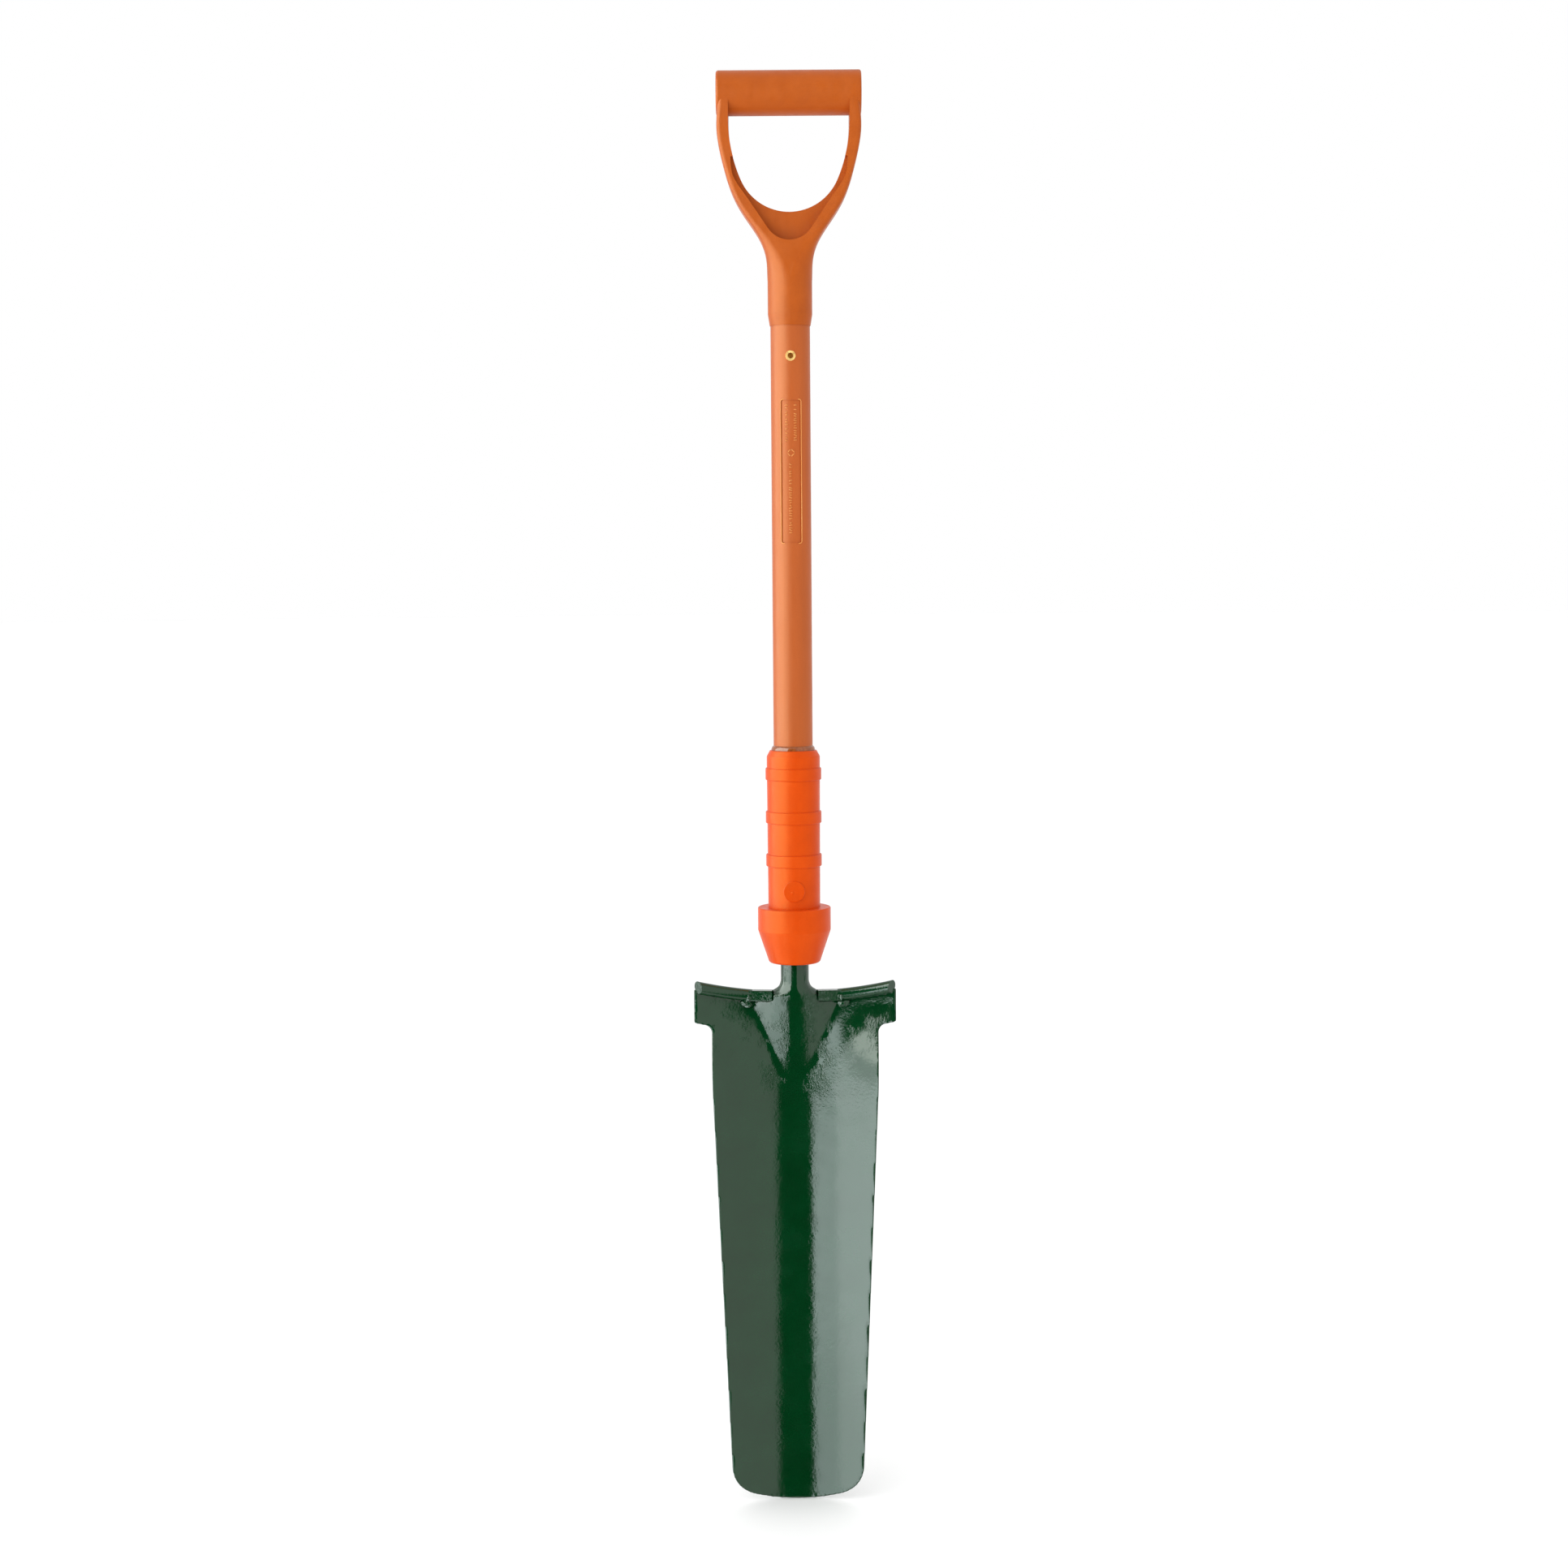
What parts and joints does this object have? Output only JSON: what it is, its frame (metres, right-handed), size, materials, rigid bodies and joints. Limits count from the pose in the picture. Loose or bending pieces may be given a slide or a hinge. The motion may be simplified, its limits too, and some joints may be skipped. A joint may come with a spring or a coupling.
{
  "type": "draining spade",
  "caption": "Insulated draining spade: moulded D handle, straight insulated shaft, ribbed sleeve with guard collar, and a long narrow dished blade with welded treads.",
  "frame": {"origin": "centre of the grip bar of the D handle, which is what holds the tool up", "axes": "+Z along the shaft from the blade to the handle, -Y the way the blade's hollow face looks, +X along the grip bar"},
  "size_m": [0.161, 0.058, 1.1414],
  "materials": {
    "handle_plastic": "satin, fine moulded texture",
    "sheath_plastic": "satin, drawn tube",
    "sleeve_plastic": "satin, smooth moulded",
    "seal_resin": "glossy set resin",
    "potting_resin": "dull poured resin",
    "green_paint": "glossy, dimpled stoved paint",
    "rivet_brass": "rolled",
    "rivet_steel": "zinc plated",
    "glass_fibre": "pultruded glass fibre",
    "foam_fill": "closed-cell foam",
    "bung_nylon": "turned nylon"
  },
  "bodies": {
    "root": {"d_handle": "handle_plastic", "grip_plug_right": "handle_plastic", "grip_plug_left": "handle_plastic", "handle_rivet": "rivet_brass", "shaft_sheath": "sheath_plastic", "shaft_core": "glass_fibre", "core_foam": "foam_fill", "core_bung": "bung_nylon", "cross_rivet": "rivet_steel", "sleeve_plug_front": "sleeve_plastic", "sleeve_plug_rear": "sleeve_plastic", "insulating_sleeve": "sleeve_plastic", "top_seal": "seal_resin", "guard_collar": "sleeve_plastic", "neck_potting": "potting_resin", "head_forging": "green_paint", "tread_right": "green_paint", "tread_left": "green_paint", "tread_weld_right": "green_paint", "tread_weld_left": "green_paint"}
  },
  "joints": []
}
